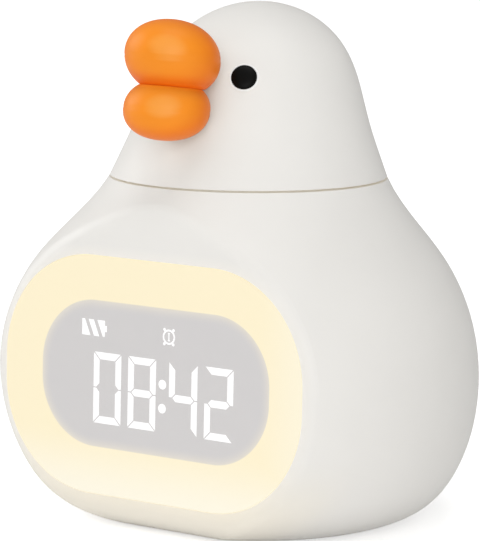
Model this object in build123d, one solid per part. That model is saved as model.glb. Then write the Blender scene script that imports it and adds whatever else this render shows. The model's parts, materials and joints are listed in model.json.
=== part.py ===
from build123d import *
import math
import os

# A children's alarm clock with a night light, shaped like a sitting duck: a hollow body
# cut flat in front, with a lit ring round a hidden clock display, and a dome-shaped head
# that is pressed to snooze or to switch the light.
#
# Millimetres. The origin is the middle of the flat base, on the table. +Z is up and the
# clock's face looks along -Y.

# ---- outer form --------------------------------------------------------------------
WALL = 2.2                  # moulded wall of the body and of the head
BASE_LIFT = 0.5             # the rubber pad holds the body this far off the table
BASE_RADIUS = 35.0
BASE_Y = -0.5
BELLY_HEIGHT = 37.0
BELLY_RADIUS = 55.1
BELLY_Y = -6.6              # centre of the widest section, front to back
NECK_HEIGHT = 78.8          # middle of the gap between body and head
NECK_RADIUS = 31.9
NECK_Y = -3.5
CROWN_HEIGHT = 118.6
CROWN_SHIFT = 3.9           # the crown lies this far behind the neck's centre

HEAD_TALL = CROWN_HEIGHT - NECK_HEIGHT

# The belly's round sections: their height, how much smaller than the widest one's their
# radius is, and how far behind its centre theirs lies.
BELLY_SECTIONS = [
    (8.0, 8.2, 2.8),
    (16.0, 3.5, 1.7),
    (26.0, 0.6, 0.7),
    (BELLY_HEIGHT, 0.0, 0.0),
    (48.0, 2.1, -0.1),
    (60.0, 8.1, 0.4),
    (70.0, 16.7, 1.7),
]
# Height, radius and centre of all the body's sections. The first lies below the base and
# the last above the neck, so that both rims are cut clean.
BODY_SECTIONS = [
    (-3.5, BASE_RADIUS - 8.0, BASE_Y + 1.0),
    (BASE_LIFT, BASE_RADIUS, BASE_Y),
    (3.2, BASE_RADIUS + 6.3, BASE_Y - 1.7),
    *[(z, BELLY_RADIUS - less, BELLY_Y + back) for z, less, back in BELLY_SECTIONS],
    (NECK_HEIGHT, NECK_RADIUS, NECK_Y),
    (NECK_HEIGHT + 5.0, NECK_RADIUS - 2.2, NECK_Y + 0.3),
]

# The head's round sections between its rim and its crown: height above the neck, as a
# share of the head's height, and radius.
HEAD_SECTIONS = [
    (0.271, 27.5),
    (0.513, 24.35),
    (0.709, 20.9),
    (0.854, 15.95),
    (0.942, 10.4),
    (0.99, 4.2),
]

FACE_Y = -40.4              # the flat front, measured at FACE_Y_HEIGHT
FACE_Y_HEIGHT = 45.0
FACE_LEAN = 1.2             # degrees; the flat front leans back
BROW_HEIGHT = 73.0          # above this height the front slopes back to the neck
BROW_LEAN = 30.0            # degrees that the slope leans back
BROW_RADIUS = 24.0          # rounding between the flat front and that slope
CHIN_HEIGHT = 4.0           # below this height the front is cut away to the base
CHIN_Y = -22.6              # where that cut meets the lowest section
CHIN_RADIUS = 10.0          # rounding between the flat front and that cut
CREASE_RADIUS = 4.0         # rounding between the flat front and the round body

# ---- window, lamp and display ------------------------------------------------------
WINDOW_HEIGHT = 35.7        # centre of the window
WINDOW_WIDTH = 82.4
WINDOW_TALL = 54.4
WINDOW_CORNER = 0.4485 * WINDOW_TALL
LENS_THICKNESS = 2.0
LENS_GAP = 0.12             # all round the lens, in its opening
LEDGE = 1.8                 # the lens is glued on a ledge this wide
LEDGE_THICKNESS = 1.4

DISPLAY_X = 1.2             # the display sits right of the window's centre
DISPLAY_Z = 0.4             # and above it
DISPLAY_WIDTH = 61.2
DISPLAY_TALL = 31.8
DISPLAY_CORNER = 14.2

FRAME_DEPTH = 8.0           # light frame, from the lens back to the board
FRAME_WALL = 1.2
FRAME_FLOOR = 1.2
FRAME_GAP = 0.4             # light frame in the ledge's opening
FRAME_BOSS_RADIUS = 2.6     # the bosses stand at the ledge's four corners
FRAME_BOSS_GAP = 0.3
FRAME_EAR = 1.6
FRAME_SCREW_BITE = 3.2      # depth of the frame screws in their bosses
EAR_STEP = 1.6              # each ear is two overlapping discs this far apart each way
BOARD_THICKNESS = 1.6
DRIVER_CHIP = 9.0           # side of the square display driver
CHIP_TALL = 1.0
LED_COUNT = 22
LED_SIZE = 2.2
LED_THICKNESS = 0.8
LED_WINDOW = 3.2            # hole in the frame's floor round each lamp

DIGIT_COUNT = 4
DIGIT_WIDTH = 7.8
DIGIT_TALL = 16.2
DIGIT_PITCH = 9.76
DIGIT_STROKE = 1.65
DIGIT_JOINT = 0.3           # dark gap between two segments
DIGITS_LEFT = -15.8         # left edge of the first digit, from the window's centre
DIGITS_FOOT = -10.8         # foot of the digits, from the window's centre
COLON_SPACE = 1.7           # extra room between the second and third digits
COLON_DOT = 2.2
COLON_RISE = 2.7            # the two dots lie this far above and below mid height
SEGMENT_DEPTH = 0.8
DISPLAY_GAP = 0.2           # display in its frame, and behind the lens

# ---- head and its press action -----------------------------------------------------
NECK_GAP = 0.45
HEAD_TRAVEL = 0.35
NECK_BORE = 30.6            # opening in the body's neck
SKIRT_CLEARANCE = 0.4
SKIRT_WALL = 1.4
SKIRT_DROP = 2.4            # the head's skirt reaches this far below its rim
SHELF_HEIGHT = 70.0         # underside of the shelf that carries the deck
SHELF_THICKNESS = 2.0
SHELF_BORE = 25.4
DECK_THICKNESS = 2.0
DECK_CLEARANCE = 0.6
STEM_RADIUS = 3.0
STEM_FIT = 0.05             # running fit of the stem in its hub
STEM_END = 1.0              # the stem ends this far above the hub's foot
HUB_WALL = 2.2
HUB_DROP = 9.0
HUB_RISE = 4.0
CARRIER_HEIGHT = 82.4       # underside of the plate inside the head
CARRIER_THICKNESS = 2.4
SPRING_RADIUS = 7.4
SPRING_WIRE = 0.8
SPRING_TURNS = 3.5
DECK_SCREW_RING = 27.2
DECK_SCREW_START = 60.0     # degrees from the front to the first deck screw
DECK_RIB = 1.2
DECK_RIBS = 6
DECK_RIB_TALL = 3.0
DECK_RIB_GAP = 1.0          # between the ribs and the shelf's bore
SWITCH_X = 15.5             # the head's switch stands beside the hub
HEAD_BOARD_LENGTH = 14.0
HEAD_BOARD_WIDTH = 11.0
HEAD_BOARD_THICKNESS = 1.2
PRESS_RADIUS = 2.4          # boss that presses the head's switch
CARRIER_GAP = 0.3
HEAD_BOSS_RING = 18.0
HEAD_BOSS_RADIUS = 3.2

EYE_RISE = 0.611            # height above the neck, as a share of the head's height
EYE_ANGLE = 29.0            # degrees to each side of the front
EYE_RADIUS = 2.7
EYE_PROUD = 0.9
EYE_SEAT = 0.6              # the eye sinks this far into the head
EYE_PEG = 1.5

# ---- beak --------------------------------------------------------------------------
# Each lobe is a stack of oval slices; the upper one's slope up towards the front. Its
# centre's rise is a share of the head's height. Its peg lies above or below that centre.
UPPER_BEAK = dict(
    y=-32.7, rise=0.726, half_width=10.5, half_length=11.2, half_height=8.5, slope=7.9, peg=-2.0
)
LOWER_BEAK = dict(
    y=-35.0, rise=0.44, half_width=9.7, half_length=9.6, half_height=7.0, slope=0.0, peg=0.0
)
BEAK_SPLIT = 0.559          # the lobes press flat on each other here, at the upper one's centre
BEAK_TILT = 7.9             # degrees that their joint rises towards the front
BEAK_FULLNESS = 2.1         # 2 is an ellipsoid; more is a fuller cushion
LOBE_STEPS = 5              # slices of a lobe between its middle and each pole
BEAK_PEG = 2.6

# ---- rear panel, buttons, socket and speaker ---------------------------------------
PANEL_HEIGHT = 36.5
PANEL_WIDTH = 38.0
PANEL_TALL = 26.0
PANEL_CORNER = 7.0
PANEL_GAP = 0.12
COLLAR_WALL = 1.6
COLLAR_DEPTH = 9.9          # from the belly's back to the inner end of the panel's frame
REAR_BOARD_DEPTH = 12.1     # from the belly's back to the rear face of the rear board
BUTTON_HEIGHT = 43.3
BUTTON_PITCH = 8.8
BUTTON_RADIUS = 3.0
BUTTON_CLEARANCE = 0.3
BUTTON_PROUD = 0.9
BUTTON_EDGE = 0.5
BUTTON_TRAVEL = 0.3
BUTTON_FLANGE = 0.9
FLANGE_RADIUS = 3.9
SLEEVE_WALL = 1.0
SLEEVE_GAP = 0.1            # between a button's flange and its sleeve
BUTTON_NAMES = ("mode", "down", "up", "light")
SWITCH_SIZE = 6.0
SWITCH_TALL = 3.6
SWITCH_BORE_DEPTH = 1.6
PLUNGER_RADIUS = 1.7
PLUNGER_FIT = 0.08
PLUNGER_PROUD = 0.8
SOCKET_X = -9.0             # as seen from behind
SOCKET_HEIGHT = 30.8
SOCKET_WIDTH = 8.94         # outside of a USB-C receptacle
SOCKET_TALL = 3.26
SOCKET_SHEET = 0.3
SOCKET_DEPTH = 6.6          # how far a plug goes in
SOCKET_MOUTH = 2.3          # the mouth lies this far inside the belly's back
TONGUE_WIDTH = 6.7
TONGUE_TALL = 0.7
TONGUE_END = 1.0            # the tongue ends this far inside the mouth
SOCKET_GAP = 0.2
POCKET_WIDTH = 12.8         # room for the plug's own body
POCKET_TALL = 7.2
POCKET_WALL = 1.2
SPEAKER_X = 8.0             # as seen from behind
SPEAKER_RADIUS = 6.0
SPEAKER_THICKNESS = 3.6
SPEAKER_FRONT = 5.2         # its front lies this far inside the belly's back
SPEAKER_GAP = 0.1
SPEAKER_WALL = 0.8
SPEAKER_HOLE = 0.9          # radius
SPEAKER_RING = 6            # holes round the middle one
SPEAKER_HOLE_PITCH = 3.1
POST_RADIUS = 2.0
POSTS = [(-17.0, 34.5), (17.0, 34.5), (-1.8, 26.6)]
# Centre, width and height of the clock, charging and sound circuits, as seen from behind.
REAR_CHIPS = [(-7.0, 39.0, 7.0, 7.0), (6.0, 40.0, 5.0, 4.0), (8.0, 30.0, 6.0, 2.5)]

# ---- base --------------------------------------------------------------------------
BASE_OPENING = 27.4
COVER_GAP = 0.2
COVER_THICKNESS = 2.2
PAD_THICKNESS = 1.2
BASE_LEDGE = 1.8            # width of the ledge that the cover rests on
BASE_LEDGE_THICKNESS = 1.6
BASE_BOSS_RING = 22.8
BASE_BOSS_RADIUS = 3.2
BASE_BOSS_TALL = 8.0
CELL_LENGTH = 34.0
CELL_WIDTH = 26.0
CELL_THICKNESS = 8.0
CELL_CLEARANCE = 0.3
CRADLE_WALL = 1.4
CRADLE_TALL = 5.0

# ---- screws ------------------------------------------------------------------------
SCREW_RADIUS = 1.1
SCREW_HEAD_RADIUS = 2.0
SCREW_HEAD_TALL = 1.3
SCREW_LENGTH = 5.0
SCREW_HOLE = 1.3            # clearance hole
SCREW_HEAD_GAP = 0.2        # round a sunk head
BASE_SCREWS = 4
DECK_SCREWS = 3
HEAD_SCREWS = 3

REACH = 150.0               # beyond the object on every side, for cutting tools
NEAR = 1.0                  # an edge closer than this to a limit lies on it


def face_y(height):
    """Front to back place of the flat front at a height."""
    return FACE_Y + (height - FACE_Y_HEIGHT) * math.tan(math.radians(FACE_LEAN))


LEAN = math.radians(FACE_LEAN)
FACE = Plane(
    origin=(0, face_y(WINDOW_HEIGHT), WINDOW_HEIGHT),
    x_dir=(1, 0, 0),
    z_dir=(0, -math.cos(LEAN), math.sin(LEAN)),
)
BACK = Plane(origin=(0, 0, 0), x_dir=(-1, 0, 0), z_dir=(0, 1, 0))


def face_prism(sketch, front, back):
    """Prism of a sketch drawn on the face, between two depths behind it."""
    return extrude(FACE.offset(-back) * sketch, amount=back - front)


def back_prism(sketch, start, end):
    """Prism of a sketch drawn as seen from behind, between two values of y."""
    return extrude(BACK.offset(start) * sketch, amount=end - start)


def disc(radius, low, high, x=0.0, y=0.0):
    """Upright cylinder between two heights."""
    return extrude(Plane((x, y, low)) * Circle(radius), amount=high - low)


def slab(low, high):
    """Everything between two heights."""
    return Pos(0, 0, (low + high) / 2) * Box(2 * REACH, 2 * REACH, high - low)


def ring_points(count, radius, centre_y=0.0, start=0.0):
    """Points evenly spaced on a circle."""
    turn = 2 * math.pi / count
    first = math.radians(start)
    return [
        (radius * math.sin(first + i * turn), centre_y - radius * math.cos(first + i * turn))
        for i in range(count)
    ]


# ---- forms -------------------------------------------------------------------------
def head_height(rise):
    """Height of a place on the head, from a share of the head's own height."""
    return NECK_HEIGHT + rise * HEAD_TALL


def inset_sections(sections, inset):
    """Round sections moved in by a wall along the surface's own normal."""
    last = len(sections) - 1
    moved = []
    for i, (height, radius, centre) in enumerate(sections):
        below = sections[max(i - 1, 0)]
        above = sections[min(i + 1, last)]
        rise = above[0] - below[0]
        flare = (above[1] - below[1]) / rise
        slant = math.hypot(1.0, flare)
        lift = inset * flare / slant
        shift = lift * (above[2] - below[2]) / rise
        moved.append((height + lift, radius - inset / slant, centre + shift))
    return moved


def circles(sections):
    """Horizontal discs, ready to be lofted."""
    return [(Plane((0, y, z)) * Circle(r)).face() for z, r, y in sections]


def front_limit(inset):
    """Everything behind the flat front, which rolls back above and below."""
    low, high = BODY_SECTIONS[0][0], BODY_SECTIONS[-1][0] + REACH
    brow = (face_y(BROW_HEIGHT), BROW_HEIGHT)
    chin = (face_y(CHIN_HEIGHT), CHIN_HEIGHT)
    limit = make_face(Polyline(
        (brow[0] + (high - BROW_HEIGHT) * math.tan(math.radians(BROW_LEAN)), high),
        brow,
        chin,
        (CHIN_Y, low),
        (CHIN_Y, low - REACH),
        (REACH, low - REACH),
        (REACH, high),
        close=True,
    ))
    for corner, radius in ((brow, BROW_RADIUS), (chin, CHIN_RADIUS)):
        limit = fillet(limit.vertices().sort_by_distance((*corner, 0))[0], radius)
    if inset:
        limit = offset(limit, -inset, kind=Kind.INTERSECTION)
    return extrude(Plane.YZ * limit, amount=REACH, both=True)


def body_form(inset=0.0, rounded=False):
    """The body's outer form as a solid, moved in by a wall."""
    form = loft(circles(inset_sections(BODY_SECTIONS, inset))) & front_limit(inset)
    if rounded:
        low = BODY_SECTIONS[0][0]
        creases = [
            edge for edge in form.edges()
            if edge.geom_type != GeomType.LINE
            and edge.center().Y < CHIN_Y - NEAR and edge.center().Z > low + NEAR
        ]
        form = fillet(creases, CREASE_RADIUS)
    return form


def head_form(inset=0.0):
    """The head's dome as a solid, moved in by a wall, leaning back to its crown."""
    rim = [(-0.1, NECK_RADIUS + 2.0), (0.0, NECK_RADIUS)]
    sections = [
        (head_height(rise), radius, NECK_Y + rise * CROWN_SHIFT)
        for rise, radius in rim + HEAD_SECTIONS
    ]
    moved = inset_sections(sections, inset)
    crown = Vertex(0, NECK_Y + CROWN_SHIFT, CROWN_HEIGHT - inset)
    return loft(circles(moved) + [crown])


OUTER = body_form(rounded=True)
CORE = body_form(WALL / 2)              # ribs and bosses end inside the wall
CAVITY = body_form(WALL)
HEAD = head_form()
HEAD_CORE = head_form(WALL / 2)
HEAD_CAVITY = head_form(WALL)

# ---- heights and places that several pieces share ----------------------------------
RIM_HEIGHT = NECK_HEIGHT - NECK_GAP / 2
HEAD_RIM = NECK_HEIGHT + NECK_GAP / 2
DECK_LOW = SHELF_HEIGHT + SHELF_THICKNESS
DECK_TOP = DECK_LOW + DECK_THICKNESS
CARRIER_TOP = CARRIER_HEIGHT + CARRIER_THICKNESS
SKIRT_RADIUS = NECK_BORE - SKIRT_CLEARANCE
DECK_RADIUS = NECK_BORE - DECK_CLEARANCE
HUB_RADIUS = STEM_RADIUS + STEM_FIT + HUB_WALL
HUB_LOW = DECK_TOP - HUB_DROP
HEAD_SWITCH_LOW = DECK_TOP + HEAD_BOARD_THICKNESS
HEAD_SWITCH_TOP = HEAD_SWITCH_LOW + SWITCH_TALL

LEDGE_BACK = LENS_THICKNESS + LEDGE_THICKNESS
BOARD_DEPTH = LENS_THICKNESS + FRAME_DEPTH
BOARD_BACK = BOARD_DEPTH + BOARD_THICKNESS
FRAME_MARGIN = -LEDGE - FRAME_GAP
FRAME_SCREW_LENGTH = BOARD_THICKNESS + FRAME_EAR + FRAME_SCREW_BITE

BACK_Y = BELLY_Y + BELLY_RADIUS
COLLAR_Y = BACK_Y - COLLAR_DEPTH
REAR_BOARD_Y = BACK_Y - REAR_BOARD_DEPTH
SWITCH_Y = REAR_BOARD_Y + SWITCH_TALL
BUTTON_Y = SWITCH_Y + PLUNGER_PROUD
SLEEVE_Y = BUTTON_Y + BUTTON_FLANGE + SLEEVE_GAP
SOCKET_Y = BACK_Y - SOCKET_MOUTH
SPEAKER_Y = BACK_Y - SPEAKER_FRONT

COVER_LOW = PAD_THICKNESS
COVER_TOP = COVER_LOW + COVER_THICKNESS
COVER_RADIUS = BASE_OPENING - COVER_GAP


# ---- screws ------------------------------------------------------------------------
def screw(place, length=SCREW_LENGTH):
    """Pan-head screw: the head stands on the plane, the shank goes down its normal."""
    head = extrude(place * Circle(SCREW_HEAD_RADIUS), amount=SCREW_HEAD_TALL)
    return head + extrude(place * Circle(SCREW_RADIUS), amount=-length)


def pilot(place, length=SCREW_LENGTH, radius=SCREW_RADIUS):
    """Hole for a screw's shank."""
    return extrude(place * Circle(radius), amount=-length)


def frame_boss_points():
    """Where the bosses stand, at 45 degrees round each corner of the light frame."""
    corner = WINDOW_CORNER + FRAME_MARGIN
    reach = (corner + FRAME_BOSS_GAP + FRAME_BOSS_RADIUS) / math.sqrt(2)
    across = WINDOW_WIDTH / 2 - WINDOW_CORNER + reach
    up = WINDOW_TALL / 2 - WINDOW_CORNER + reach
    return [(x, z) for x in (-across, across) for z in (-up, up)]


def frame_screw_places():
    """Planes on the back of the front board, facing the back."""
    return [
        Plane(FACE.from_local_coords((x, z, -BOARD_BACK)), x_dir=(1, 0, 0), z_dir=-FACE.z_dir)
        for x, z in frame_boss_points()
    ]


def base_screw_places():
    seat = COVER_LOW + SCREW_HEAD_TALL
    return [
        Plane(origin=(x, y, seat), z_dir=(0, 0, -1))
        for x, y in ring_points(BASE_SCREWS, BASE_BOSS_RING)
    ]


def deck_screw_places():
    return [
        Plane(origin=(x, y, DECK_TOP))
        for x, y in ring_points(DECK_SCREWS, DECK_SCREW_RING, NECK_Y, DECK_SCREW_START)
    ]


def head_screw_places():
    return [
        Plane(origin=(x, y, CARRIER_HEIGHT), z_dir=(0, 0, -1))
        for x, y in ring_points(HEAD_SCREWS, HEAD_BOSS_RING, NECK_Y)
    ]


def board_screw_places():
    inside = REAR_BOARD_Y - BOARD_THICKNESS
    return [
        Plane(origin=(-x, inside, z), x_dir=(1, 0, 0), z_dir=(0, -1, 0))
        for x, z in POSTS
    ]


def screws(places, length=SCREW_LENGTH):
    return Compound([screw(place, length) for place in places])


# ---- outlines ----------------------------------------------------------------------
def window(grow=0.0):
    """The window's outline, grown or shrunk by an even margin."""
    return RectangleRounded(WINDOW_WIDTH + 2 * grow, WINDOW_TALL + 2 * grow, WINDOW_CORNER + grow)


def display(grow=0.0):
    """The display's outline within the window."""
    return Pos(DISPLAY_X, DISPLAY_Z) * RectangleRounded(
        DISPLAY_WIDTH + 2 * grow, DISPLAY_TALL + 2 * grow, DISPLAY_CORNER + grow
    )


def panel(grow=0.0):
    """The rear panel's outline."""
    return Pos(0, PANEL_HEIGHT) * RectangleRounded(
        PANEL_WIDTH + 2 * grow, PANEL_TALL + 2 * grow, PANEL_CORNER + grow
    )


def oval(x, height, width, tall):
    """A slot with round ends, as seen from behind."""
    return Pos(x, height) * SlotOverall(width, tall)


def eared(outline):
    """An outline with a round ear at each of the four bosses."""
    for x, z in frame_boss_points():
        inner_x = x - math.copysign(EAR_STEP, x)
        inner_z = z - math.copysign(EAR_STEP, z)
        outline += Pos(x, z) * Circle(FRAME_BOSS_RADIUS)
        outline += Pos(inner_x, inner_z) * Circle(FRAME_BOSS_RADIUS)
    return outline


# ---- body --------------------------------------------------------------------------
def body_shell():
    shell = OUTER - (CAVITY & slab(BASE_LIFT + WALL, REACH))

    # inner ledge for the lens, and the bosses that carry the light frame
    ribs = face_prism(window(WALL), LENS_THICKNESS, LEDGE_BACK)
    for x, z in frame_boss_points():
        boss = Pos(x, z) * Circle(FRAME_BOSS_RADIUS)
        ribs += face_prism(boss, LENS_THICKNESS, BOARD_DEPTH - FRAME_EAR)
    # shelf that carries the deck below the neck
    ribs += disc(BELLY_RADIUS, SHELF_HEIGHT, DECK_LOW, y=NECK_Y)
    ribs -= disc(SHELF_BORE, SHELF_HEIGHT, DECK_LOW, y=NECK_Y)
    # ledge and bosses that carry the base cover
    ledge_top = COVER_TOP + BASE_LEDGE_THICKNESS
    ribs += disc(BASE_OPENING + WALL, BASE_LIFT, ledge_top)
    ribs -= disc(BASE_OPENING - BASE_LEDGE, COVER_TOP, ledge_top)
    for place in base_screw_places():
        spot = place.origin
        ribs += disc(BASE_BOSS_RADIUS, COVER_TOP, COVER_TOP + BASE_BOSS_TALL, spot.X, spot.Y)
    # frame round the rear panel
    ribs += back_prism(panel(COLLAR_WALL), COLLAR_Y, BACK_Y)
    shell += ribs & CORE

    shell -= face_prism(window(), -FRAME_DEPTH, LENS_THICKNESS)
    shell -= face_prism(window(-LEDGE), LENS_THICKNESS, LEDGE_BACK)
    shell -= back_prism(panel(), COLLAR_Y, BACK_Y + WALL)
    shell -= disc(BASE_OPENING, -COVER_TOP, COVER_TOP)
    shell -= disc(NECK_BORE, DECK_LOW, NECK_HEIGHT, y=NECK_Y)
    shell &= slab(BASE_LIFT, RIM_HEIGHT)
    for place in frame_screw_places():
        shell -= pilot(place, FRAME_SCREW_LENGTH)
    for place in deck_screw_places() + base_screw_places():
        shell -= pilot(place)
    return shell


def front_lens():
    """Milky window, flush with the body's form and glued on the ledge."""
    return OUTER & face_prism(window(-LENS_GAP), -FRAME_DEPTH, LENS_THICKNESS)


# ---- lamp and display --------------------------------------------------------------
def lamp_points():
    """Lamp centres, evenly spaced round the channel between display and frame."""
    outer = window(FRAME_MARGIN - FRAME_WALL).face().bounding_box()
    inner = display(FRAME_WALL).face().bounding_box()
    low = (outer.min + inner.min) / 2
    high = (outer.max + inner.max) / 2
    middle = (low + high) / 2
    corner = (WINDOW_CORNER + DISPLAY_CORNER) / 2
    track = Pos(middle.X, middle.Y) * RectangleRounded(high.X - low.X, high.Y - low.Y, corner)
    path = track.face().outer_wire()
    spots = [path.position_at((i + 0.5) / LED_COUNT) for i in range(LED_COUNT)]
    turns = [path.tangent_at((i + 0.5) / LED_COUNT) for i in range(LED_COUNT)]
    return [
        Pos(p.X, p.Y) * Rot(0, 0, math.degrees(math.atan2(t.Y, t.X)))
        for p, t in zip(spots, turns)
    ]


def light_frame():
    """White tray: a channel for the lamps round a sleeve for the display."""
    frame = face_prism(window(FRAME_MARGIN), LENS_THICKNESS, BOARD_DEPTH)
    ears = face_prism(eared(window(FRAME_MARGIN)), BOARD_DEPTH - FRAME_EAR, BOARD_DEPTH)
    channel = face_prism(window(FRAME_MARGIN - FRAME_WALL), LENS_THICKNESS, BOARD_DEPTH - FRAME_FLOOR)
    sleeve = face_prism(display(FRAME_WALL), LENS_THICKNESS, BOARD_DEPTH)
    frame = frame + ears - channel + sleeve
    frame -= face_prism(display(), LENS_THICKNESS, BOARD_DEPTH)
    for spot in lamp_points():
        hole = spot * Rectangle(LED_WINDOW, LED_WINDOW)
        frame -= face_prism(hole, BOARD_DEPTH - FRAME_FLOOR, BOARD_DEPTH)
    for place in frame_screw_places():
        frame -= pilot(place, FRAME_SCREW_LENGTH, SCREW_HOLE)
    return frame


def front_board():
    board = face_prism(eared(window(FRAME_MARGIN)), BOARD_DEPTH, BOARD_BACK)
    for place in frame_screw_places():
        board -= pilot(place, FRAME_SCREW_LENGTH, SCREW_HOLE)
    return board


def lamp_leds():
    chip = Rectangle(LED_SIZE, LED_SIZE)
    return Compound([
        face_prism(spot * chip, BOARD_DEPTH - LED_THICKNESS, BOARD_DEPTH).solid()
        for spot in lamp_points()
    ])


def digit_segments():
    """The seven bars of one digit, mitred where they meet, from its lower left corner."""
    edge = DIGIT_JOINT / 2
    left, right = -edge, DIGIT_WIDTH + edge
    foot, top = -edge, DIGIT_TALL + edge
    middle = (foot + top) / 2
    bar = DIGIT_STROKE + DIGIT_JOINT
    half = bar / 2
    bars = [
        [(left, top), (right, top), (right - bar, top - bar), (left + bar, top - bar)],
        [(left, foot), (left + bar, foot + bar), (right - bar, foot + bar), (right, foot)],
        [
            (left + half, middle), (left + bar, middle + half), (right - bar, middle + half),
            (right - half, middle), (right - bar, middle - half), (left + bar, middle - half),
        ],
    ]
    for side, inward in ((left, 1), (right, -1)):
        for end, down in ((top, -1), (foot, 1)):
            bars.append([
                (side, end),
                (side + inward * bar, end + down * bar),
                (side + inward * bar, middle - down * half),
                (side + inward * half, middle),
                (side, middle),
            ])
    return [offset(make_face(Polyline(*bar_points, close=True)), -edge) for bar_points in bars]


def display_windows():
    """Every light window of the display: four digits and the colon."""
    windows = []
    for i in range(DIGIT_COUNT):
        left = DIGITS_LEFT + i * DIGIT_PITCH + (COLON_SPACE if i >= DIGIT_COUNT / 2 else 0.0)
        windows += [Pos(left, DIGITS_FOOT) * bar for bar in digit_segments()]
    gap = DIGIT_PITCH - DIGIT_WIDTH
    colon = DIGITS_LEFT + DIGIT_COUNT / 2 * DIGIT_PITCH + (COLON_SPACE - gap) / 2
    for rise in (-COLON_RISE, COLON_RISE):
        windows.append(Pos(colon, DIGITS_FOOT + DIGIT_TALL / 2 + rise) * Circle(COLON_DOT / 2))
    return windows


def display_segments():
    front = LENS_THICKNESS + DISPLAY_GAP
    return Compound([
        face_prism(shape, front, front + SEGMENT_DEPTH).solid() for shape in display_windows()
    ])


def display_module():
    front = LENS_THICKNESS + DISPLAY_GAP
    return face_prism(display(-DISPLAY_GAP), front, BOARD_DEPTH) - display_segments()


def driver_chip():
    return face_prism(Rectangle(DRIVER_CHIP, DRIVER_CHIP), BOARD_BACK, BOARD_BACK + CHIP_TALL)


# ---- neck --------------------------------------------------------------------------
def neck_deck():
    """Plate in the neck with a ribbed hub that guides the head's stem."""
    deck = disc(DECK_RADIUS, DECK_LOW, DECK_TOP, y=NECK_Y)
    deck += disc(HUB_RADIUS, HUB_LOW, DECK_TOP + HUB_RISE, y=NECK_Y)
    rib_length = SHELF_BORE - DECK_RIB_GAP
    rib = Box(rib_length, DECK_RIB, DECK_RIB_TALL, align=(Align.MIN, Align.CENTER, Align.MAX))
    for i in range(DECK_RIBS):
        deck += Pos(0, NECK_Y, DECK_LOW) * Rot(0, 0, i * 360 / DECK_RIBS) * rib
    deck -= disc(STEM_RADIUS + STEM_FIT, HUB_LOW, DECK_TOP + HUB_RISE, y=NECK_Y)
    for place in deck_screw_places():
        deck -= pilot(place, radius=SCREW_HOLE)
    return deck


def head_switch_board():
    low = Plane((SWITCH_X, NECK_Y, DECK_TOP))
    return extrude(low * Rectangle(HEAD_BOARD_WIDTH, HEAD_BOARD_LENGTH), amount=HEAD_BOARD_THICKNESS)


def head_switch():
    low = Plane((SWITCH_X, NECK_Y, HEAD_SWITCH_LOW))
    case = extrude(low * Rectangle(SWITCH_SIZE, SWITCH_SIZE), amount=SWITCH_TALL)
    bore = PLUNGER_RADIUS + PLUNGER_FIT
    return case - disc(bore, HEAD_SWITCH_TOP - SWITCH_BORE_DEPTH, HEAD_SWITCH_TOP, SWITCH_X, NECK_Y)


def head_plunger():
    low = HEAD_SWITCH_TOP - SWITCH_BORE_DEPTH + HEAD_TRAVEL + PLUNGER_FIT
    return disc(PLUNGER_RADIUS, low, HEAD_SWITCH_TOP + PLUNGER_PROUD, SWITCH_X, NECK_Y)


def head_spring():
    """Coil between the deck and the head's carrier."""
    low = DECK_TOP + SPRING_WIRE / 2
    tall = CARRIER_HEIGHT - DECK_TOP - SPRING_WIRE
    path = Helix(tall / SPRING_TURNS, tall, SPRING_RADIUS)
    start = Plane(path @ 0, z_dir=path % 0)
    coil = sweep(start * RegularPolygon(SPRING_WIRE / 2, 8), path)
    return Pos(0, NECK_Y, low) * coil


# ---- head --------------------------------------------------------------------------
def eye(side):
    """Domed eye on a peg through the head's wall."""
    turn = math.radians(EYE_ANGLE)
    centre = (0, NECK_Y + EYE_RISE * CROWN_SHIFT, head_height(EYE_RISE))
    ray = Axis(centre, (side * math.sin(turn), -math.cos(turn), 0))
    spot, normal = HEAD.find_intersection_points(ray)[-1]
    seat = Plane(spot, z_dir=normal)
    ball = (EYE_RADIUS ** 2 + EYE_PROUD ** 2) / (2 * EYE_PROUD)
    dome = seat * Pos(0, 0, EYE_PROUD - ball) * Sphere(ball)
    rim = extrude(seat.offset(-EYE_SEAT) * Circle(EYE_RADIUS), amount=EYE_SEAT + EYE_PROUD)
    peg = extrude(seat.offset(-EYE_SEAT) * Circle(EYE_PEG), amount=-WALL)
    return (rim & dome) + peg


def sloped(y, height, slope):
    """Plane that rises towards the front by an angle in degrees."""
    turn = math.radians(slope)
    return Plane(
        origin=(0, y, height), x_dir=(1, 0, 0), z_dir=(0, math.sin(turn), math.cos(turn))
    )


def lobe(spec):
    """Cushion-shaped solid: ovals on parallel slices between two poles."""
    power = 2 / BEAK_FULLNESS
    middle = head_height(spec["rise"])
    foot, top = (Vertex(0, spec["y"], middle + side * spec["half_height"]) for side in (-1, 1))
    slices = []
    for step in range(1 - LOBE_STEPS, LOBE_STEPS):
        turn = math.pi / 2 * step / LOBE_STEPS
        reach = math.cos(turn) ** power
        rise = math.copysign(abs(math.sin(turn)) ** power, step) * spec["half_height"]
        level = sloped(spec["y"], middle + rise, spec["slope"])
        outline = Ellipse(spec["half_width"] * reach, spec["half_length"] * reach)
        slices.append((level * outline).face())
    return loft([foot, *slices, top])


def beak_side(above):
    """Everything on one side of the plane on which the lobes meet."""
    joint = sloped(UPPER_BEAK["y"], head_height(BEAK_SPLIT), BEAK_TILT)
    return extrude(joint * Rectangle(REACH, REACH), amount=REACH if above else -REACH)


def beak_peg(spec):
    """Peg that runs from inside a lobe through the head's wall."""
    height = head_height(spec["rise"]) + spec["peg"]
    start = Plane(origin=(0, spec["y"], height), z_dir=(0, 1, 0))
    ray = Axis((0, NECK_Y, height), (0, -1, 0))
    skin = HEAD.find_intersection_points(ray)[-1][0]
    return extrude(start * Circle(BEAK_PEG), amount=skin.Y + 2 * WALL - spec["y"])


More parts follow.
